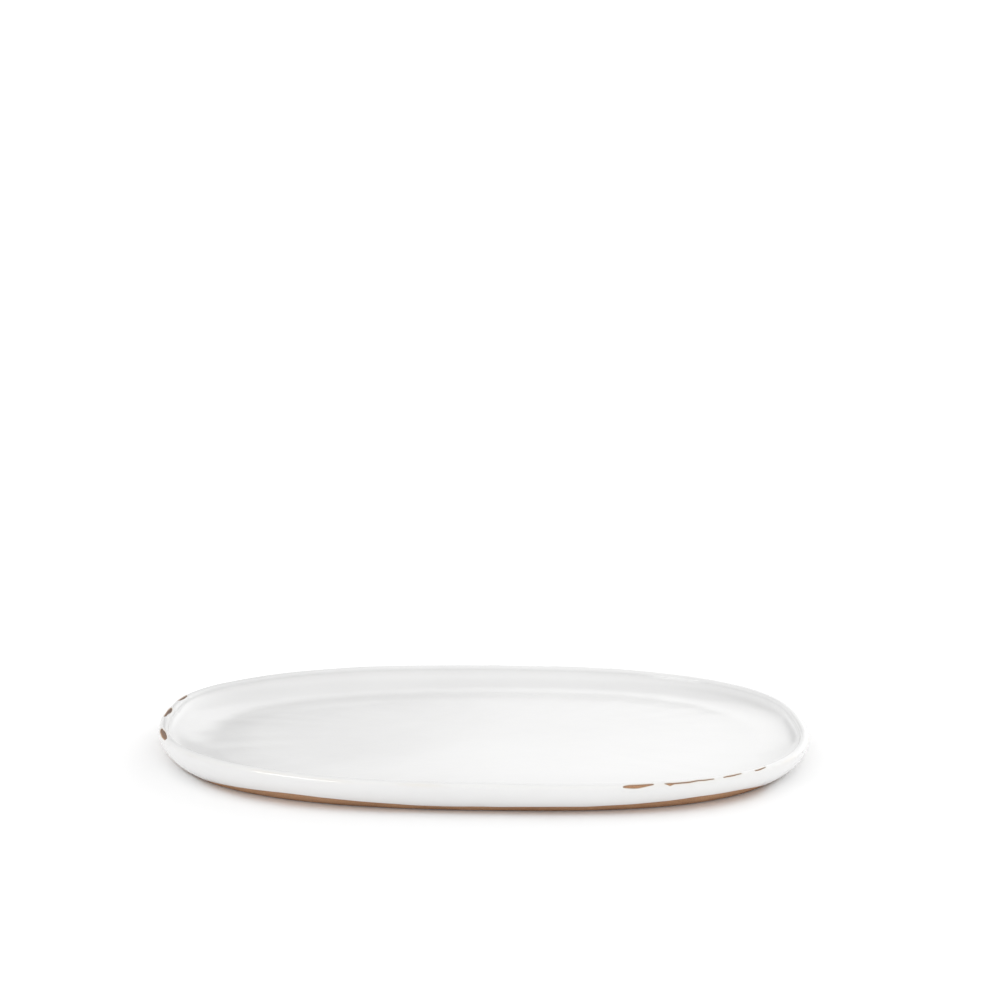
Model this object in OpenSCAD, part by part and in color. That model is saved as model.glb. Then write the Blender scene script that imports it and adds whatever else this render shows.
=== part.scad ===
// Oval serving platter: a fired clay dish under a white glaze that has drawn back
// from the clay in short bare patches along the rim and stops above the foot.
// +X runs along the length, +Y towards the back edge and +Z up. The origin lies on
// the table, under the middle of the platter's length and width.

/* [Platter] */
// Length over the rim
length = 406.4; // [390:0.1:420]
// Width over the rim
width = 279.4; // [260:0.1:290]
// Height of the rim above the table, at mid length
rim_height = 19; // [17:0.5:24]
// Lean of the rim in degrees, higher at the left end
rim_lean = 0.5; // [0:0.1:0.8]

/* [Outline] */
// How far right of the middle the platter is at its widest
widest_at = 22; // [0:1:40]
// How far behind the middle the platter is at its longest
longest_at = 15; // [0:1:25]
// Squareness of the back right quarter, where 2 is an ellipse
square_back_right = 2.36; // [2.1:0.01:2.8]
// Squareness of the back left quarter
square_back_left = 2.24; // [2.1:0.01:2.8]
// Squareness of the front left quarter
square_front_left = 2.63; // [2.1:0.01:2.8]
// Squareness of the front right quarter
square_front_right = 2.51; // [2.1:0.01:2.8]

/* [Clay] */
// Thickness of the clay wall at the rim
rim_t = 4.2; // [3:0.1:6]
// Thickness of the clay floor
floor_t = 5.6; // [4:0.1:8]
// Distance from the rim's outline in to the edge of the foot
foot_inset = 13.5; // [10:0.5:22]
// How early the outer wall turns up from the foot
wall_curve = 2.1; // [1.5:0.05:3]
// Width of the curve from the inner wall down to the flat floor
well_curve = 32; // [15:1:45]
// Height of the rounded top of the rim
crest_h = 1.8; // [1:0.1:3]

/* [Glaze] */
// Thickness of the glaze skin
glaze_t = 0.6; // [0.3:0.05:1]
// Mean height of the glaze's lower edge above the table
line_height = 5; // [4:0.1:7]
// How far the lower edge wanders up and down
line_wander = 1.4; // [0:0.1:2]
// Number of flats around the platter
flats = 96; // [48:8:120]

/* [Hidden] */

clay_top = rim_height - glaze_t;
crest_z = clay_top - crest_h;
// Rings on the outer wall below and above the glaze's edge, over the crest and down the inner wall
bare_rings = 2;
// Clay ground off under the foot to make it flat
foot_cut = 1;
wall_rings = 6;
crest_rings = 5;
well_rings = 8;
// Waves in the glaze's lower edge: number round the platter, angle of one high point and share
waves = [[5, 306, 1], [8, 314.5, 0.5], [3, 299.5, 0.5]];
// Bare patches along the rim: first angle, last angle and half width at the middle
patches = [
    [55, 60, 1.3], [68, 77, 0.9], [77, 82.5, 1.6], [96.5, 98.5, 1.0],
    [173.5, 177, 1.6], [181, 186.5, 1.7], [193.5, 198.5, 1.3],
    [290.5, 296.5, 1.5], [298.5, 308.5, 1.1], [310.5, 315, 1.1], [318, 321, 1.0]
];
// Half width of a patch at its ends, and how far over the crest its line runs in degrees
patch_end = 0.75;
patch_over = 55;

// Reach left or right, reach forwards or back, and squareness of the quarter that holds angle a
function quarter(a) =
    let(right = cos(a) > 0, back = sin(a) > 0)
    [
        length / 2 - (right ? 1 : -1) * widest_at,
        width / 2 - (back ? 1 : -1) * longest_at,
        back ? (right ? square_back_right : square_back_left)
             : (right ? square_front_right : square_front_left)
    ];

// Point of the rim's outline at angle a about its fullest point
function outline(a) =
    let(q = quarter(a))
    let(r = pow(pow(abs(cos(a)) / q[0], q[2]) + pow(abs(sin(a)) / q[1], q[2]), -1 / q[2]))
    [widest_at + r * cos(a), longest_at + r * sin(a)];

// Unit vector out of the outline at angle a
function outward(a) =
    let(q = quarter(a), n = q[2] - 1)
    let(g = [
        sign(cos(a)) * pow(abs(cos(a)) / q[0], n) / q[0],
        sign(sin(a)) * pow(abs(sin(a)) / q[1], n) / q[1]
    ])
    g / norm(g);

// Point at angle a, a distance inside the outline and a height that follows the leaning rim
function place(a, inset, z) =
    let(p = outline(a) - inset * outward(a))
    [p.x, p.y, z * (1 - tan(rim_lean) * p.x / rim_height)];

// Height of the glaze's lower edge at angle a
function glaze_line(a) =
    line_height + line_wander * sum([for (w = waves) w[2] * cos(w[0] * (a - w[1]))]);

// Sum of a list of numbers
function sum(list) = list * [for (x = list) 1];

// Inset of the clay's outer wall at height z
function wall_inset(z) = glaze_t + (foot_inset - glaze_t) * pow(1 - z / crest_z, wall_curve);

// Section of the glazed clay at angle a, as [inset, height] from the glaze's edge to the floor
function glazed_section(a) =
    let(low = glaze_line(a))
    concat(
        [for (i = [0:wall_rings - 1])
            let(z = low + (crest_z - low) * i / wall_rings)
            [wall_inset(z), z]],
        [for (i = [0:crest_rings]) crest(180 * i / crest_rings)],
        [for (i = [1:well_rings]) well(90 * i / well_rings)]
    );

// Point of the crest, t degrees over from its outer side
function crest(t) = [glaze_t + rim_t / 2 * (1 - cos(t)), crest_z + crest_h * sin(t)];

// Point of the inner wall, t degrees down from the crest to the floor
function well(t) = [
    glaze_t + rim_t + well_curve * (1 - cos(t)),
    floor_t + (crest_z - floor_t) * (1 - sin(t))
];

// Section of the bare clay at angle a, from the foot to just under the glaze's edge
function bare_section(a) = [
    for (i = [0:bare_rings - 1])
        let(z = (glaze_line(a) + foot_cut) * i / bare_rings - foot_cut)
        [wall_inset(z), z]
];

// Unit vector out of a section at point i, from the chord between its neighbours
function section_normal(s, i) =
    let(d = s[min(i + 1, len(s) - 1)] - s[max(i - 1, 0)])
    i == len(s) - 1 ? [0, 1] : [-d[1], d[0]] / norm(d);

// The same section moved out by the glaze's thickness
function coated(s) = [for (i = [0:len(s) - 1]) s[i] + glaze_t * section_normal(s, i)];

// Sections turned into rings of points, flats points to a ring
function swept(sections) = [
    for (k = [0:len(sections[0]) - 1])
        for (j = [0:flats - 1]) place(360 * j / flats, sections[j][k][0], sections[j][k][1])
];

// Triangles between neighbouring rings, from ring first to ring last, facing out or in
function walls(first, last, out) = [
    for (k = [first:last - 1])
        for (j = [0:flats - 1])
            let(a = k * flats + j, b = k * flats + (j + 1) % flats)
            for (f = [[a, a + flats, b + flats], [a, b + flats, b]]) out ? f : [f[0], f[2], f[1]]
];

// One flat face over a ring, facing up or down
function cap(ring, up) = [[for (j = [0:flats - 1]) ring * flats + (up ? flats - 1 - j : j)]];

// Fired clay dish, bare at the foot and wherever the glaze is open
module clay_body() {
    sections = [for (j = [0:flats - 1]) let(a = 360 * j / flats) concat(bare_section(a), glazed_section(a))];
    last = len(sections[0]) - 1;
    color("peru")
        difference() {
            polyhedron(
                points = swept(sections),
                faces = concat(cap(0, false), walls(0, last, true), cap(last, true))
            );
            translate([-length / 2, -width / 2, -2 * foot_cut])
                cube([length, width, 2 * foot_cut]);
        }
}

// Skin of glaze before the bare patches are opened, one face on the clay and one outside
module glaze_skin() {
    under = [for (j = [0:flats - 1]) glazed_section(360 * j / flats)];
    over = [for (s = under) coated(s)];
    last = len(under[0]) - 1;
    // The outer rings follow the under rings in the point list, and the two meet at the edge
    rings = last + 1;
    edge = [
        for (j = [0:flats - 1])
            let(a = j, b = (j + 1) % flats, c = rings * flats)
            for (f = [[a, b, b + c], [a, b + c, a + c]]) f
    ];
    polyhedron(
        points = concat(swept(under), swept(over)),
        faces = concat(
            cap(last, false), walls(0, last, false),
            cap(rings + last, true), walls(rings, rings + last, true),
            [for (f = edge) [f[0], f[2], f[1]]]
        )
    );
}

// Bead at angle a on the crest's outer shoulder that opens the glaze to half width w
module patch_bead(a, w) {
    p = crest(patch_over);
    translate(place(a, p[0], p[1])) sphere(r = w, $fn = 12);
}

// Lens that opens one bare patch, in two straight halves
module patch_opening(first, last, w) {
    middle = (first + last) / 2;
    for (end = [first, last])
        hull() {
            patch_bead(end, patch_end);
            patch_bead(middle, w);
        }
}

// White glaze over the inside, the rim and the outer wall
module glaze_coat() {
    color("whitesmoke")
        difference() {
            glaze_skin();
            for (p = patches) patch_opening(p[0], p[1], p[2]);
        }
}

clay_body();
glaze_coat();
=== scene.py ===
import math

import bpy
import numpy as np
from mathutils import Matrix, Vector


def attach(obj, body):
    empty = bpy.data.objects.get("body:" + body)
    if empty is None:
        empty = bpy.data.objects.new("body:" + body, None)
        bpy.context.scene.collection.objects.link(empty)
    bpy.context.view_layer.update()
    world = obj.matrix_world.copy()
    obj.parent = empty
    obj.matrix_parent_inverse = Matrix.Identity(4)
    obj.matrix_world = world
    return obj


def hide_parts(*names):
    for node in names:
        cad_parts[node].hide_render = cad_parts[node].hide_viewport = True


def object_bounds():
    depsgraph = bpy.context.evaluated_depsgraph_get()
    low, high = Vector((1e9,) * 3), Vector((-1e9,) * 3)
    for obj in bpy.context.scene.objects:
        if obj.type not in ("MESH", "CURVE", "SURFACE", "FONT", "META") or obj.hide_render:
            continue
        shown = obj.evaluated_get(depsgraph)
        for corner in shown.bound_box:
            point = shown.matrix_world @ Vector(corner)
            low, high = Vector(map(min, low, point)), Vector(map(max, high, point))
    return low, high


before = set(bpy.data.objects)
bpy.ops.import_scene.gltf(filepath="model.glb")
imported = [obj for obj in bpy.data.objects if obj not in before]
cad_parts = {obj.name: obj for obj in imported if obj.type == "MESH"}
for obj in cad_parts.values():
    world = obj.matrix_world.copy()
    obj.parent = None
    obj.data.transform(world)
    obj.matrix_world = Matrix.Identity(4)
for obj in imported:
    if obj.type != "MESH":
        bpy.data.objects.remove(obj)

# Looks of the oval serving platter: fired clay, white glaze, a plain white floor and soft light.
#
# Shapes are worked out in millimetres, as in the CAD source, and become metres when a mesh is made.
# A point of the platter is given by an angle round the rim and a distance along its section, which
# runs from the foot up the outer wall, over the crest and down the inner wall to the flat floor.

CAD_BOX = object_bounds()
MM = 0.001

# ---- Dimensions in mm -----------------------------------------------------------------------

# The platter, as the CAD source has it
LENGTH = (CAD_BOX[1].x - CAD_BOX[0].x) / MM
WIDTH = (CAD_BOX[1].y - CAD_BOX[0].y) / MM
RIM_HEIGHT = 19.0
RIM_LEAN = math.radians(0.5)
WIDEST_AT, LONGEST_AT = 22.0, 15.0
SQUARE_BACK_RIGHT, SQUARE_BACK_LEFT = 2.36, 2.24
SQUARE_FRONT_LEFT, SQUARE_FRONT_RIGHT = 2.63, 2.51
RIM_T, FLOOR_T, CREST_H = 4.2, 5.6, 1.8
FOOT_INSET, WALL_CURVE, WELL_CURVE = 13.5, 2.1, 32.0
GLAZE_T = 0.6
LINE_HEIGHT, LINE_WANDER = 5.0, 1.4
CREST_Z = RIM_HEIGHT - GLAZE_T - CREST_H

# The foot's edge is worn round: its height, and how far in under the foot it reaches
WORN_HEIGHT, WORN_REACH = 1.3, 1.5

# Waves in the glaze's lower edge: number round the platter, angle of one high point and share
LINE_WAVES = [(5, 306, 1), (8, 314.5, 0.5), (3, 299.5, 0.5), (23, 40, 0.07), (41, 130, 0.05)]
# Where the glaze hangs lower still: angle, half width in degrees and drop
HANGS = [(203, 13, 2.1), (326, 6, 2.5), (336, 8, 1.5)]

# Waves that lean the hand-formed wall out and waves that raise it: number round the platter, phase
# in radians and size at the rim
LEAN_WAVES = [(3, 0.7, 0.22), (7, 2.1, 0.14), (16, 4.0, 0.06)]
RISE_WAVES = [(5, 1.2, 0.16), (9, 3.3, 0.10), (19, 0.4, 0.05)]
# How uneven the floor is at its middle
FLOOR_SWELL = 0.09
# How far the bare clay in a patch is sunk, and how rough it is there
PATCH_SUNK, PATCH_ROUGH = 0.05, 0.04

# How much thinner the glaze is on the crest and at its lower edge, and thicker in the well's
# corner, as shares of its thickness, and the height of its bead round a patch
THIN_ON_CREST, THIN_AT_LINE, THICK_IN_CORNER = 0.28, 0.5, 0.25
BEAD = 0.25

# Bare patches along the rim, which are thin lines with one broad spot each: first and last angle,
# degrees that the first and last end lie over the crest from its outer side, half width of the
# line, place of the spot along the patch, how much wider it is, its reach along the patch, and how
# much more it opens to the outer side. The place, the reach and the last value are shares.
PATCHES = [
    (55.0, 60.2, 50, 50, 0.50, 0.30, 0.60, 0.30, 0.0),
    (68.0, 82.6, 50, 50, 0.28, 0.86, 1.20, 0.12, 0.0),
    (96.8, 98.6, 50, 50, 0.40, 0.50, 0.10, 0.30, 0.0),
    (173.5, 177.3, 84, 84, 0.65, 0.45, 0.40, 0.35, 0.0),
    (181.8, 187.4, 78, 82, 0.80, 0.30, 0.70, 0.30, 0.0),
    (194.0, 199.8, 66, 44, 0.75, 0.50, 0.60, 0.40, 0.0),
    (290.4, 296.3, 27, 48, 0.35, 0.36, 0.52, 0.38, 0.1),
    (298.6, 308.4, 40, 48, 0.14, 0.08, 0.62, 0.058, 0.7),
    (310.6, 314.7, 52, 58, 0.16, 0.35, 0.10, 0.30, 0.0),
    (318.0, 321.0, 56, 58, 0.14, 0.40, 0.06, 0.30, 0.0),
]
# Pin-head iron specks in the glaze: angle round the rim, degrees over the crest and radius
SPECKS = [(159.4, 40, 0.45), (29.5, 60, 0.45), (355.7, 45, 0.50), (335.2, 0, 0.55)]


# ---- Shape of the platter -------------------------------------------------------------------

def outline(a):
    """Points of the rim's outline at angles a, and the unit vectors out of it."""
    c, s = np.cos(a), np.sin(a)
    right, back = c > 0, s > 0
    half_l = LENGTH / 2 - np.where(right, 1, -1) * WIDEST_AT
    half_w = WIDTH / 2 - np.where(back, 1, -1) * LONGEST_AT
    behind = np.where(right, SQUARE_BACK_RIGHT, SQUARE_BACK_LEFT)
    before = np.where(right, SQUARE_FRONT_RIGHT, SQUARE_FRONT_LEFT)
    n = np.where(back, behind, before)
    u, v = np.abs(c / half_l), np.abs(s / half_w)
    r = (u**n + v**n) ** (-1 / n)
    points = np.stack([WIDEST_AT + r * c, LONGEST_AT + r * s], -1)
    out = np.stack([np.sign(c) * u ** (n - 1) / half_l, np.sign(s) * v ** (n - 1) / half_w], -1)
    return points, out / np.linalg.norm(out, axis=-1, keepdims=True)


def crest_point(t):
    """The crest's [inset, height] t radians over from its outer side."""
    return np.stack([GLAZE_T + RIM_T / 2 * (1 - np.cos(t)), CREST_Z + CREST_H * np.sin(t)], -1)


def clay_section():
    """The clay's section as rows of [inset, height], from under the foot's edge to the floor's."""
    steps = 400
    z = CREST_Z * np.linspace(0, 1, steps)
    wall = np.stack([GLAZE_T + (FOOT_INSET - GLAZE_T) * (1 - z / CREST_Z) ** WALL_CURVE, z], -1)
    wall = wall[z > WORN_HEIGHT]
    t = np.linspace(0, math.pi / 2, 9)[:-1]
    edge = wall[0, 0]
    worn = [
        edge + (FOOT_INSET + WORN_REACH - edge) * (1 - np.sin(t)),
        WORN_HEIGHT * (1 - np.cos(t)),
    ]
    crest = crest_point(np.linspace(0, math.pi, steps))
    t = np.linspace(0, math.pi / 2, steps)
    well = [
        GLAZE_T + RIM_T + WELL_CURVE * (1 - np.cos(t)),
        FLOOR_T + (CREST_Z - FLOOR_T) * (1 - np.sin(t)),
    ]
    return np.concatenate([np.stack(worn, -1), wall, crest[1:], np.stack(well, -1)[1:]])


SECTION = clay_section()
ALONG = np.concatenate([[0], np.cumsum(np.linalg.norm(np.diff(SECTION, axis=0), axis=1))])
SLOPE = np.gradient(SECTION, ALONG, axis=0)
WALL_POINTS = int(np.argmax(SECTION[:, 1] >= CREST_Z))
FLOOR_EDGE = ALONG[-1]


def crest_s(degrees):
    """Distance along the section of the point that many degrees over the crest."""
    point = crest_point(math.radians(degrees))
    return ALONG[np.argmin(np.linalg.norm(SECTION - point, axis=1))]


INNER_SIDE = crest_s(180)


def section_at(s):
    """Point and outward unit vector, as [inset, height], a distance s along the clay's section."""
    point = np.stack([np.interp(s, ALONG, SECTION[:, i]) for i in (0, 1)], -1)
    d = np.stack([np.interp(s, ALONG, SLOPE[:, i]) for i in (0, 1)], -1)
    # Inset grows inwards, so this turns the way along the section into the way out of the clay
    normal = np.stack([-d[..., 1], d[..., 0]], -1)
    return point, normal / np.linalg.norm(normal, axis=-1, keepdims=True)


def line_s(a):
    """Distance along the section of the glaze's lower edge at angles a."""
    wander = sum(share * np.cos(count * (a - math.radians(at))) for count, at, share in LINE_WAVES)
    hang = sum(drop * np.exp(-(((np.degrees(a) - at) / wide) ** 2)) for at, wide, drop in HANGS)
    z = LINE_HEIGHT + LINE_WANDER * wander - hang
    return np.interp(z, SECTION[:WALL_POINTS, 1], ALONG[:WALL_POINTS])


def by_hand(a, z):
    """Unevenness of a hand-formed wall at height z: how far it leans out and how much it rises."""
    up = np.clip(z / RIM_HEIGHT, 0, 1) ** 1.5
    out = sum(size * np.cos(count * a + phase) for count, phase, size in LEAN_WAVES)
    rise = sum(size * np.cos(count * a + phase) for count, phase, size in RISE_WAVES)
    return out * up, rise * up


def lean(x):
    """Share of its height that the leaning wall has at x."""
    return 1 - math.tan(RIM_LEAN) * x / RIM_HEIGHT


def place(a, s, lift):
    """Points at angles a and distances s along the section, lifted off the clay by lift."""
    edge, out = outline(a)
    point, normal = section_at(s)
    z = point[..., 1] + normal[..., 1] * lift
    wide, tall = by_hand(a, z)
    xy = edge - (point[..., 0] + normal[..., 0] * lift - wide)[..., None] * out
    return np.concatenate([xy, ((z + tall) * lean(xy[..., 0]))[..., None]], -1)


# ---- Bare patches ---------------------------------------------------------------------------

def patch_line(a):
    """Distance along the section of the line that the patches lie on, which wanders a little."""
    ends = [(row[i], crest_s(row[i + 2])) for row in PATCHES for i in (0, 1)]
    s = np.interp(np.degrees(a), [e[0] for e in ends], [e[1] for e in ends], period=360)
    return s + 0.12 * np.cos(47 * a + 0.5) + 0.07 * np.cos(113 * a + 2.0)


def opening(a):
    """How far the glaze is drawn back above and below the patches' line, 0 away from them."""
    up, down = np.zeros_like(a), np.zeros_like(a)
    for first, last, _, _, thin, spot, wider, reach, hang in PATCHES:
        u = (np.degrees(a) - first) / (last - first)
        inside = (u > 0) & (u < 1)
        ends = np.sqrt(np.clip(1 - np.abs(2 * u - 1) ** 4, 0, 1))
        wide = wider * np.exp(-(((u - spot) / reach) ** 2))
        ragged = 0.20 * np.sin(61 * a + first) + 0.12 * np.sin(137 * a + 2 * first)
        up = np.where(inside, (thin * (1 + ragged) + wide * (1 - hang)) * ends, up)
        down = np.where(inside, (thin * (1 - ragged) + wide * (1 + hang)) * ends, down)
    return up, down


def column_angles():
    """Angles round the rim, closer together at the patches, with one at each end of each patch."""
    plain = set(np.round(np.arange(0, 360, 1.0), 3))
    close = set()
    beside = (0.05, 0.14, 0.28, 0.5)
    clear = 0.55
    for first, last, *_ in PATCHES:
        plain = {x for x in plain if not first - clear < x < last + clear}
        count = max(14, int((last - first) / 0.22))
        close |= set(first + (last - first) * (1 - np.cos(np.linspace(0, math.pi, count))) / 2)
        close |= {first - d for d in beside} | {last + d for d in beside}
    angles = np.array(sorted(np.round(x, 4) for x in plain | close))
    return np.radians(angles[np.diff(angles, prepend=-1) > 0.02])


# The angle of every column of points, and how far the glaze is open there
A = column_angles()
UP, DOWN = opening(A)
OPEN = UP > 0
# A patch's end is a column where the two edges of its opening meet
END = ~OPEN & (np.roll(OPEN, 1) | np.roll(OPEN, -1))
# Distances along the section of the glaze's lower edge and of the edges of its openings
LINE = line_s(A)
LOW, HIGH = patch_line(A) - DOWN, patch_line(A) + UP
# Distances round the rim
RIM_STEP = np.linalg.norm(outline(np.roll(A, -1))[0] - outline(A)[0], axis=1)
ROUND = np.cumsum(RIM_STEP) - RIM_STEP
GIRTH = RIM_STEP.sum()


def to_patch(s):
    """Distance in mm from each point to the nearest bare patch; s has one column for each angle."""
    far, looked_at = 50.0, 6
    best = np.full(s.shape, far)
    for j in np.flatnonzero(OPEN | END):
        dx = np.abs(ROUND - ROUND[j])
        dx = np.minimum(dx, GIRTH - dx)
        near = dx < looked_at
        for edge in (LOW[j], HIGH[j]):
            best[:, near] = np.minimum(best[:, near], np.hypot(dx[near], s[:, near] - edge))
    return best


# ---- Thickness and colour of the glaze ------------------------------------------------------

def strip(s, middle, half_width):
    """1 along the middle of a strip of the section, fading smoothly to 0 on both sides of it."""
    return np.exp(-(((s - middle) / half_width) ** 2))


def uneven(s, seed, size):
    """Smooth noise on the platter's skin, about -1 to 1, with features of that size in mm."""
    xy = outline(A)[0] / size
    total = np.zeros(s.shape)
    for i in range(6):
        turn = seed + 2.4 * i
        across = 2 * (xy[:, 0] * math.cos(turn) + xy[:, 1] * math.sin(turn))
        total += np.sin(across + 2 * math.sin(3 * turn) * s / size + 5 * turn)
    return total / 3.5


def glaze_lift(s):
    """Thickness of the glaze, thin on the crest, rounded at its edges and beaded by the patches."""
    on_crest = strip(s, crest_s(75), 2.2)
    in_corner = strip(s, INNER_SIDE + 16, 9)
    line, patch = s - LINE, to_patch(s)
    run_out = THIN_AT_LINE * np.exp(-line / 4)
    waves = 0.10 * uneven(s, 3.1, 9)
    body = GLAZE_T * (1 + waves - THIN_ON_CREST * on_crest + THICK_IN_CORNER * in_corner - run_out)
    nearest = np.clip(np.minimum(line / 0.6, patch / 0.7), 0, 1)
    return (body + BEAD * strip(patch, 1.0, 0.7)) * np.sqrt(1 - (1 - nearest) ** 2)


def glaze_tint(s):
    """How much the clay shows through the glaze, from 0 to 1."""
    on_crest = strip(s, crest_s(30), 0.8)
    by_patch = strip(to_patch(s), 0, 0.35)
    by_line = strip(s, LINE, 0.35)
    along = on_crest * np.clip(uneven(s, 7.7, 14) - 0.1, 0, 1)
    return np.clip(0.03 * on_crest + 0.50 * by_patch + 0.45 * by_line + 0.12 * along, 0, 1)


# Painted shade on the glaze, in bands round the well's corner, deepest at the back left, on the crest
# at both ends and on the inner wall at the back right and the left end: middle along the section and
# half widths before and after it in mm, angle round the rim, power of its fade and share
SHADES = [
    (FLOOR_EDGE + 2, 10, 16, 0, 0, 0.10),
    (FLOOR_EDGE + 2, 12, 15, 148, 3, 0.48),
    (crest_s(90), 2.6, 2.6, 180, 4, 0.60),
    (crest_s(90), 2.6, 2.6, 0, 4, 0.30),
    (INNER_SIDE + 6.5, 4, 4, 20, 10, 0.40),
    (INNER_SIDE + 9, 8, 8, 175, 4, 0.22),
]


def glaze_shade(a, s):
    """How much painted shade darkens the glaze from its plain white, from 0 to 1."""
    total = np.zeros(np.broadcast(a, s).shape)
    for middle, before, after, angle, power, share in SHADES:
        half_width = np.where(s < middle, before, after)
        towards = np.clip(np.cos(a - math.radians(angle)), 0, 1) ** power
        total += share * strip(s, middle, half_width) * towards
    return np.clip(total, 0, 1)


# ---- Meshes ---------------------------------------------------------------------------------

class Skin:
    """Collects rings of points, their tint and shade, and faces, and makes a Blender mesh."""

    VALUES = ("tint", "shade")

    def __init__(self):
        self.points, self.values, self.faces = [], [], []
        self.count = 0

    def ring(self, points, tint=0.0, shade=0.0):
        """Adds a ring of points and gives their numbers."""
        self.points.append(points)
        self.values.append(np.column_stack([np.broadcast_to(v, len(points)) for v in (tint, shade)]))
        self.count += len(points)
        return np.arange(self.count - len(points), self.count)

    def add(self, face, flip):
        """Adds a face without its repeated corners, and none if fewer than three are left."""
        face = [int(v) for i, v in enumerate(face) if v != face[i - 1]]
        if len(face) > 2:
            self.faces.append(face[::-1] if flip else face)

    def wall(self, low, high, flip=False):
        """Joins two rings that have as many points."""
        for a, b, c, d in zip(low, np.roll(low, -1), np.roll(high, -1), high):
            self.add([a, b, c, d], flip)

    def walls(self, rings, flip=False):
        """Joins each ring to the next one."""
        for low, high in zip(rings, rings[1:]):
            self.wall(low, high, flip)

    def coarsen(self, ring, inner, kept, flip=False):
        """Joins a ring to a coarser one whose points answer to the kept points of the ring."""
        n, m = len(ring), len(inner)
        for k in range(m):
            first, last = kept[k], kept[(k + 1) % m]
            span = (last - first) % n
            half = (span + 1) // 2
            here, there = inner[k], inner[(k + 1) % m]
            for t in range(span):
                a, b = ring[(first + t) % n], ring[(first + t + 1) % n]
                self.add([a, b, here if t < half else there], flip)
            self.add([ring[(first + half) % n], there, here], flip)

    def make(self, name):
        """Makes the object from the points that its faces use."""
        used, corners = np.unique(np.concatenate(self.faces), return_inverse=True)
        ends = np.cumsum([len(f) for f in self.faces])
        faces = [c.tolist() for c in np.split(corners, ends[:-1])]
        points, values = np.concatenate(self.points)[used], np.concatenate(self.values)[used]
        mesh = bpy.data.meshes.new(name)
        mesh.from_pydata((points * MM).tolist(), [], faces)
        mesh.polygons.foreach_set("use_smooth", np.ones(len(faces), bool))
        for label, column in zip(self.VALUES, values.T):
            attribute = mesh.attributes.new(label, "FLOAT", "POINT")
            attribute.data.foreach_set("value", column.astype(np.float32))
        mesh.update()
        obj = bpy.data.objects.new(name, mesh)
        bpy.context.scene.collection.objects.link(obj)
        return obj


def rows(start, end, near_start, near_end, middle):
    """Distances along the section from start to end, close together near the ends asked for."""
    head = [start] + [start + d for d in near_start]
    tail = [end - d for d in reversed(near_end)] + [end]
    share = [(i + 1) / (middle + 1) for i in range(middle)]
    return np.array(head + [head[-1] + (tail[0] - head[-1]) * t for t in share] + tail)


def all_round(s, lift):
    """Points at all the angles, with rows of distances s along the section and one column each."""
    return place(np.broadcast_to(A, s.shape), s, lift)


# Rings on the floor: size as a share of the floor's edge, and how many degrees apart their points
# are, or 0 for as many points as the ring before
FLOOR_RINGS = [(0.94, 0), (0.87, 1), (0.78, 0), (0.66, 2), (0.52, 0), (0.37, 4), (0.2, 0)]


def floor_of(skin, ring, edge, lift, flip):
    """Closes the floor inside its edge ring with slightly uneven rings that get coarser."""
    centre = edge[:, :2].mean(0)
    off_plane = edge[:, 2] - (FLOOR_T + lift) * lean(edge[:, 0])
    # The edge's points that the last ring answers to
    kept = np.arange(len(edge))
    degrees = np.degrees(A)
    for share, apart in FLOOR_RINGS:
        if apart:
            wide, last = [], -apart
            for k, j in enumerate(kept):
                if degrees[j] - last >= apart - 0.01:
                    wide.append(k)
                    last = degrees[j]
            picked = kept[wide]
        else:
            picked = kept
        xy = centre + (edge[picked, :2] - centre) * share
        x, y = xy[:, 0], xy[:, 1]
        swell = np.sin(x / 37 + 0.6) * np.cos(y / 29 + 0.3) + 0.6 * np.sin(x / 19 - y / 23 + 1.9)
        flat = (FLOOR_T + lift) * lean(x)
        z = flat + off_plane[picked] * share**4 + FLOOR_SWELL * (1 - share**2) * swell
        inward = np.linalg.norm(edge[picked, :2] - xy, axis=1)
        # Each floor ring also carries the glaze's painted shade
        inner = skin.ring(np.column_stack([xy, z]), shade=glaze_shade(A[picked], FLOOR_EDGE + inward))
        if apart:
            skin.coarsen(ring, inner, wide, flip)
        else:
            skin.wall(ring, inner, flip)
        ring, kept = inner, picked
    skin.add(list(ring), flip)


# ---- The two pieces' shapes -----------------------------------------------------------------

# Distances from an edge of the glaze at which its rows lie close together
NEAR = (0.12, 0.28, 0.5, 0.8, 1.2, 1.8)
START, SIDE, LAST = (np.full(A.shape, s) for s in (0.0, INNER_SIDE, FLOOR_EDGE))
# Rows under the glaze, which the clay and the glaze share
UNDER_LOW = rows(LINE, LOW, (1.5,), (0.6,), 4)
UNDER_HIGH = np.concatenate([rows(HIGH, SIDE, (0.6,), (), 5), rows(SIDE, LAST, (), (), 9)[1:]])


def make_glaze():
    skin = Skin()
    low = rows(LINE, LOW, NEAR, NEAR, 9)
    past_side = SIDE + 1
    high = np.concatenate([rows(HIGH, past_side, NEAR, (), 8), rows(past_side, LAST, (), (), 20)[1:]])

    def outer(s):
        points = all_round(s, glaze_lift(s))
        # Each ring's points, its tint and its painted shade
        values = zip(points, glaze_tint(s), glaze_shade(A, s))
        return points, [skin.ring(*row) for row in values]

    _, low_rings = outer(low)
    high_points, high_rings = outer(high)
    high_rings[0] = np.where(OPEN, high_rings[0], low_rings[-1])
    for rings in (low_rings, high_rings):
        skin.walls(rings)
    floor_of(skin, high_rings[-1], high_points[-1], GLAZE_T, False)

    # The face that lies on the clay meets the outer one along the line and round every patch
    under_low = [skin.ring(p) for p in all_round(UNDER_LOW, 0)]
    under_points = all_round(UNDER_HIGH, 0)
    under_high = [skin.ring(p) for p in under_points]
    under_low[0] = low_rings[0]
    under_low[-1] = np.where(OPEN | END, low_rings[-1], under_low[-1])
    under_high[0] = np.where(OPEN, high_rings[0], under_low[-1])
    for rings in (under_low, under_high):
        skin.walls(rings, True)
    floor_of(skin, under_high[-1], under_points[-1], 0, True)
    return skin.make("white_glaze")


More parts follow.
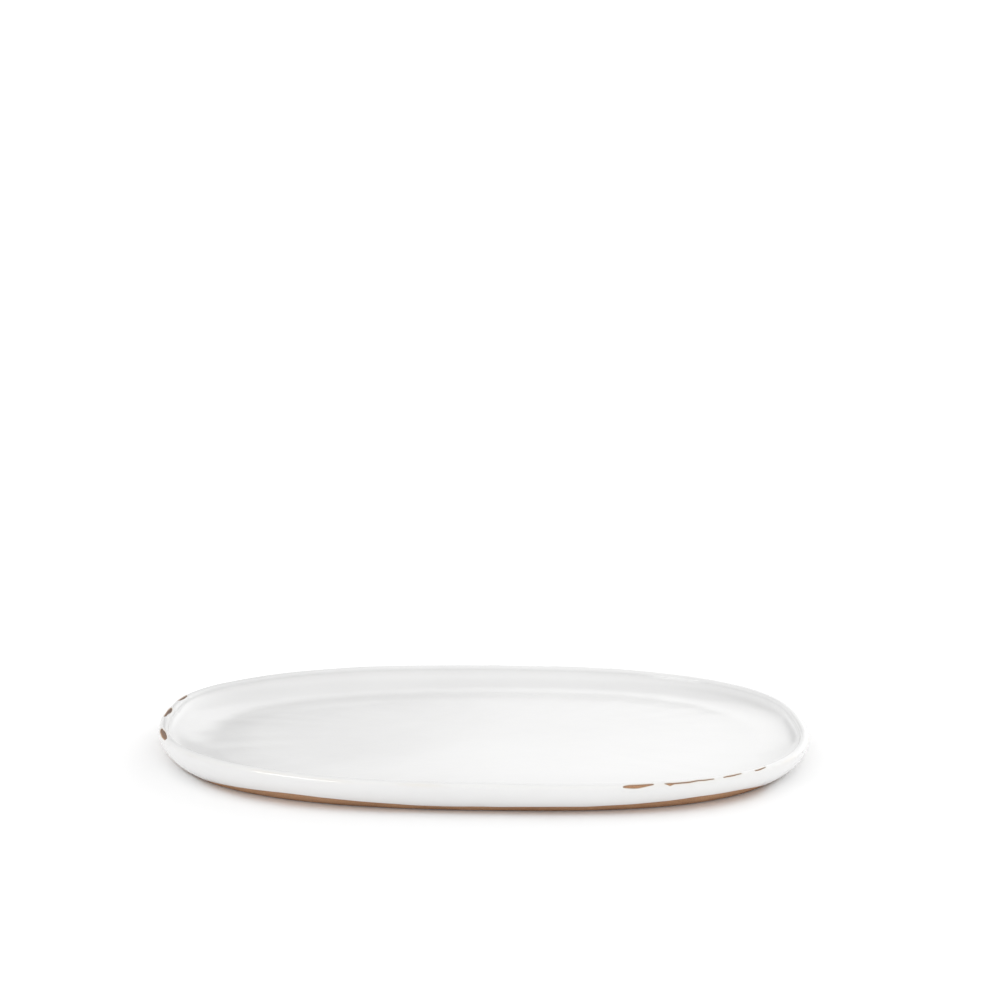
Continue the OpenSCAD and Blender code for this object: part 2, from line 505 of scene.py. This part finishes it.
def make_clay():
    skin = Skin()
    foot = rows(START, LINE, (0.5, 1.1), (0.3,), 5)
    gap = rows(LOW, HIGH, (), (), 3)

    def rings_of(s, sunk=0.0, tint=0.0, shade=0.0):
        points = all_round(s, -sunk)
        values = zip(points, np.broadcast_to(tint, s.shape), np.broadcast_to(shade, s.shape))
        return points, [skin.ring(*row) for row in values]

    # The foot's worn edge has painted contact shadow, and the flat face under it has none
    contact_shade = 0.8 * strip(foot, 1.4, 1.3)
    contact_shade[0] = 0
    _, foot_rings = rings_of(foot, tint=strip(foot, LINE, 0.5), shade=contact_shade)
    _, low_rings = rings_of(UNDER_LOW)
    low_rings[0] = foot_rings[-1]
    # The bare clay in a patch is a little rough and sunk a hair, and at the platter's left end it has
    # painted shade
    rough = PATCH_SUNK + PATCH_ROUGH * uneven(gap, 5.2, 1.1)
    rough[0] = rough[-1] = 0
    left_end_shade = np.clip(-np.cos(A), 0, 1) ** 4
    _, gap_rings = rings_of(gap, sunk=rough, tint=strip(to_patch(gap), 0, 0.3), shade=left_end_shade)
    high_points, high_rings = rings_of(UNDER_HIGH)
    gap_rings = [low_rings[-1]] + [np.where(OPEN, g, low_rings[-1]) for g in gap_rings[1:]]
    high_rings[0] = gap_rings[-1]
    skin.add(list(foot_rings[0]), True)
    for rings in (foot_rings, low_rings, gap_rings, high_rings):
        skin.walls(rings)
    floor_of(skin, high_rings[-1], high_points[-1], 0, False)
    return skin.make("fired_clay")


# ---- Materials ------------------------------------------------------------------------------

BLACK, WHITE = (0.0, 0.0, 0.0), (1.0, 1.0, 1.0)
# Glaze: its two whites, then where clay shows through a little and a lot, and its iron specks
GLAZE_DIM, GLAZE_BRIGHT = (0.800, 0.798, 0.795), (0.822, 0.821, 0.818)
GLAZE_CREAM, GLAZE_BROWN, IRON = (0.74, 0.70, 0.64), (0.40, 0.27, 0.19), (0.16, 0.11, 0.09)
# Clay: its two browns, then beside the glaze, and the deep brown of its painted shade
CLAY_DARK, CLAY_LIGHT = (0.43, 0.225, 0.115), (0.53, 0.30, 0.165)
CLAY_EDGE, CLAY_PAINTED_SHADE = (0.20, 0.10, 0.06), (0.13, 0.10, 0.085)
# Depth of the ripples in the glaze and of the clay's grain, in metres
RIPPLE_DEPTH, GRAIN_DEPTH = 0.00012, 0.00018


class Look:
    """A material's node tree with short calls for the nodes that it needs."""

    def __init__(self, name):
        self.material = bpy.data.materials.new(name)
        self.material.use_nodes = True
        self.nodes, self.links = self.material.node_tree.nodes, self.material.node_tree.links
        self.shader = self.nodes["Principled BSDF"]
        self.where = self.node("ShaderNodeTexCoord").outputs["Object"]

    def node(self, kind, **inputs):
        """A new node with its inputs set or linked; an underscore in a name stands for a space."""
        node = self.nodes.new(kind)
        for name, value in inputs.items():
            self.put(node.inputs[name.replace("_", " ")], value)
        return node

    def put(self, socket, value):
        """Links another node's output to the socket, or sets the socket to a number or a colour."""
        if isinstance(value, bpy.types.NodeSocket):
            self.links.new(value, socket)
        else:
            socket.default_value = (*value, 1) if isinstance(value, tuple) else value

    def noise(self, scale, detail=3, roughness=0.55):
        node = self.node("ShaderNodeTexNoise", Vector=self.where, Scale=scale)
        self.put(node.inputs["Detail"], detail)
        self.put(node.inputs["Roughness"], roughness)
        return node.outputs["Fac"]

    def span(self, value, low, high, to_low=0.0, to_high=1.0):
        """value mapped from low..high to to_low..to_high, and clamped."""
        ends = {"From_Min": low, "From_Max": high, "To_Min": to_low, "To_Max": to_high}
        return self.node("ShaderNodeMapRange", Value=value, **ends).outputs["Result"]

    def mix(self, share, a, b, how="MIX"):
        """Numbers or colours a and b mixed by share."""
        node = self.nodes.new("ShaderNodeMix")
        node.data_type, node.blend_type = "RGBA", how
        # The colour sockets are the seventh and eighth inputs, after those of other kinds
        for i, value in ((0, share), (6, a), (7, b)):
            self.put(node.inputs[i], value)
        return node.outputs[2]

    def value(self, name):
        """One of the values that the mesh holds at each point."""
        node = self.nodes.new("ShaderNodeAttribute")
        node.attribute_name = name
        return node.outputs["Fac"]

    def bump(self, height, distance):
        node = self.node("ShaderNodeBump", Height=height, Distance=distance, Strength=1.0)
        self.links.new(node.outputs["Normal"], self.shader.inputs["Normal"])

    def dot(self, centre, radius):
        """1 inside a round speck at centre, fading to 0 at its edge."""
        node = self.nodes.new("ShaderNodeVectorMath")
        node.operation = "DISTANCE"
        self.links.new(self.where, node.inputs[0])
        node.inputs[1].default_value = centre
        return self.span(node.outputs["Value"], radius * 0.6, radius, 1.0, 0.0)

    def set(self, **inputs):
        """Sets or links the shader's own inputs."""
        for name, value in inputs.items():
            self.put(self.shader.inputs[name.replace("_", " ")], value)


def glaze_look():
    look = Look("white_glaze")
    white = look.mix(look.span(look.noise(9), 0.35, 0.65), GLAZE_DIM, GLAZE_BRIGHT)
    # Painted shade: the shade value darkens the white towards black by up to 0.30
    shaded = look.mix(look.span(look.value("shade"), 0.0, 1.0, 0.0, 0.30), white, BLACK)
    tint = look.value("tint")
    cream = look.mix(look.span(tint, 0.0, 0.25), shaded, GLAZE_CREAM)
    colour = look.mix(look.span(tint, 0.22, 0.60), cream, GLAZE_BROWN)
    for angle, over, radius in SPECKS:
        a = np.array([math.radians(angle)])
        centre = place(a, np.array([crest_s(over)]), GLAZE_T)[0] * MM
        colour = look.mix(look.dot(centre, radius * MM), colour, IRON)
    look.set(Base_Color=colour, Roughness=look.span(look.noise(35), 0.3, 0.7, 0.08, 0.14), IOR=1.5)
    ripple = look.mix(0.25, look.noise(55, 2), look.noise(700, 2))
    look.bump(ripple, RIPPLE_DEPTH)
    return look.material


def clay_look():
    look = Look("fired_clay")
    broad = look.mix(look.span(look.noise(25, 4), 0.35, 0.65), CLAY_DARK, CLAY_LIGHT)
    grain = look.span(look.noise(1400, 4, 0.7), 0.35, 0.7, 0.72, 1.12)
    grained = look.mix(1.0, broad, look.mix(grain, BLACK, WHITE), "MULTIPLY")
    edged = look.mix(look.span(look.value("tint"), 0.1, 1.0, 0.0, 0.6), grained, CLAY_EDGE)
    # Painted shade: the shade value, at the foot's contact edge and in the patches at the left end,
    # darkens the clay towards a deep brown
    colour = look.mix(look.span(look.value("shade"), 0.0, 1.0, 0.0, 0.85), edged, CLAY_PAINTED_SHADE)
    look.set(Base_Color=colour, Roughness=look.span(look.noise(300), 0.3, 0.7, 0.78, 0.95))
    look.bump(look.noise(1100, 5, 0.75), GRAIN_DEPTH)
    return look.material


def floor_look():
    look = Look("white_floor")
    look.set(Base_Color=(0.97, 0.97, 0.97), Roughness=0.9, Specular_IOR_Level=0.0)
    return look.material


# ---- The pieces -----------------------------------------------------------------------------

for piece, node, finish, look in (
    (make_clay(), "clay_body", "clay", clay_look()),
    (make_glaze(), "glaze_coat", "glaze", glaze_look()),
):
    piece.data.materials.append(look)
    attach(piece, "root")
    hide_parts(node)


# ---- Floor, light and camera, in metres -----------------------------------------------------

# Half the side of the square floor, and how far it lies below the platter's foot
FLOOR_HALF, FLOOR_DROP = 12.0, 0.00005

# Brightness of the surround, then its darker and brighter parts: azimuth, elevation and radius in
# degrees, and what each adds at its middle. The camera sees the surround at a plain brightness.
SURROUND, SEEN = 1.14, 1.1
SOFT_PARTS = [(75, 41, 44, -0.82), (98, 11, 9, -0.60), (91, 25, 14, 0.58), (54, 23, 37, 1.27)]

# The glint panel's place, width and height in metres, and power in watts
GLINT_AT, GLINT_WIDE, GLINT_TALL = (-0.85, -0.92, 0.34), 0.56, 0.46
GLINT_POWER = 5

# The camera's place in metres, its turn to the left, its tilt down and its roll in degrees, and
# its lens in mm on a sensor 36 mm wide
CAMERA_AT = (0.0151, -0.9278, 0.2742)
CAMERA_TURN, CAMERA_TILT, CAMERA_ROLL = 0.363, 7.191, 0.337
CAMERA_LENS, SENSOR_WIDE = 54.0, 36


def make_floor():
    mesh = bpy.data.meshes.new("floor")
    signs = ((-1, -1), (1, -1), (1, 1), (-1, 1))
    corners = [(FLOOR_HALF * x, FLOOR_HALF * y, -FLOOR_DROP) for x, y in signs]
    mesh.from_pydata(corners, [], [(0, 1, 2, 3)])
    floor = bpy.data.objects.new("floor", mesh)
    bpy.context.scene.collection.objects.link(floor)
    mesh.materials.append(floor_look())


def make_glint():
    """A wide low panel at the front left that shows only as a glint in the glaze."""
    light = bpy.data.lights.new("glint", "AREA")
    light.shape = "RECTANGLE"
    light.size, light.size_y = GLINT_WIDE, GLINT_TALL
    light.energy = GLINT_POWER
    panel = bpy.data.objects.new("glint", light)
    panel.location = GLINT_AT
    panel.rotation_euler = (-panel.location).to_track_quat("-Z", "Y").to_euler()
    panel.visible_diffuse = False
    panel.visible_camera = False
    bpy.context.scene.collection.objects.link(panel)


def direction(azimuth, elevation):
    """Unit vector towards an azimuth and elevation in degrees."""
    az, el = math.radians(azimuth), math.radians(elevation)
    return (math.cos(el) * math.cos(az), math.cos(el) * math.sin(az), math.sin(el))


def make_world():
    """A bright surround with soft darker and brighter parts, which the camera sees as pure white."""
    world = bpy.data.worlds.new("studio")
    world.use_nodes = True
    nodes, links = world.node_tree.nodes, world.node_tree.links
    way = nodes.new("ShaderNodeTexCoord").outputs["Generated"]
    plain = nodes.new("ShaderNodeValue")
    plain.outputs[0].default_value = SURROUND
    total = plain.outputs[0]
    for azimuth, elevation, radius, added in SOFT_PARTS:
        dot = nodes.new("ShaderNodeVectorMath")
        dot.operation = "DOT_PRODUCT"
        links.new(way, dot.inputs[0])
        dot.inputs[1].default_value = direction(azimuth, elevation)
        fade = nodes.new("ShaderNodeMapRange")
        fade.interpolation_type = "SMOOTHSTEP"
        links.new(dot.outputs["Value"], fade.inputs["Value"])
        edge = math.cos(math.radians(radius))
        for name, value in (("From Min", edge), ("From Max", 1.0), ("To Min", 0.0), ("To Max", added)):
            fade.inputs[name].default_value = value
        both = nodes.new("ShaderNodeMath")
        both.operation = "ADD"
        links.new(total, both.inputs[0])
        links.new(fade.outputs["Result"], both.inputs[1])
        total = both.outputs[0]
    surround = nodes["Background"]
    surround.inputs["Color"].default_value = (1, 1, 1, 1)
    links.new(total, surround.inputs["Strength"])
    seen = nodes.new("ShaderNodeBackground")
    seen.inputs["Color"].default_value = (1, 1, 1, 1)
    seen.inputs["Strength"].default_value = SEEN
    path = nodes.new("ShaderNodeLightPath")
    mixed = nodes.new("ShaderNodeMixShader")
    links.new(path.outputs["Is Camera Ray"], mixed.inputs[0])
    links.new(surround.outputs[0], mixed.inputs[1])
    links.new(seen.outputs[0], mixed.inputs[2])
    links.new(mixed.outputs[0], nodes["World Output"].inputs["Surface"])
    bpy.context.scene.world = world


def make_camera():
    """A low view from the front, with the platter in the lower part of the frame."""
    data = bpy.data.cameras.new("camera")
    data.sensor_width = SENSOR_WIDE
    data.lens = CAMERA_LENS
    data.clip_start, data.clip_end = 0.05, 50
    camera = bpy.data.objects.new("camera", data)
    turn = Matrix.Rotation(math.radians(CAMERA_TURN), 4, "Z")
    tilt = Matrix.Rotation(math.radians(90 - CAMERA_TILT), 4, "X")
    roll = Matrix.Rotation(math.radians(CAMERA_ROLL), 4, "Z")
    camera.matrix_world = Matrix.Translation(CAMERA_AT) @ turn @ tilt @ roll
    bpy.context.scene.collection.objects.link(camera)
    bpy.context.scene.camera = camera


make_floor()
make_world()
make_glint()
make_camera()
bpy.context.scene.view_settings.view_transform = "Standard"
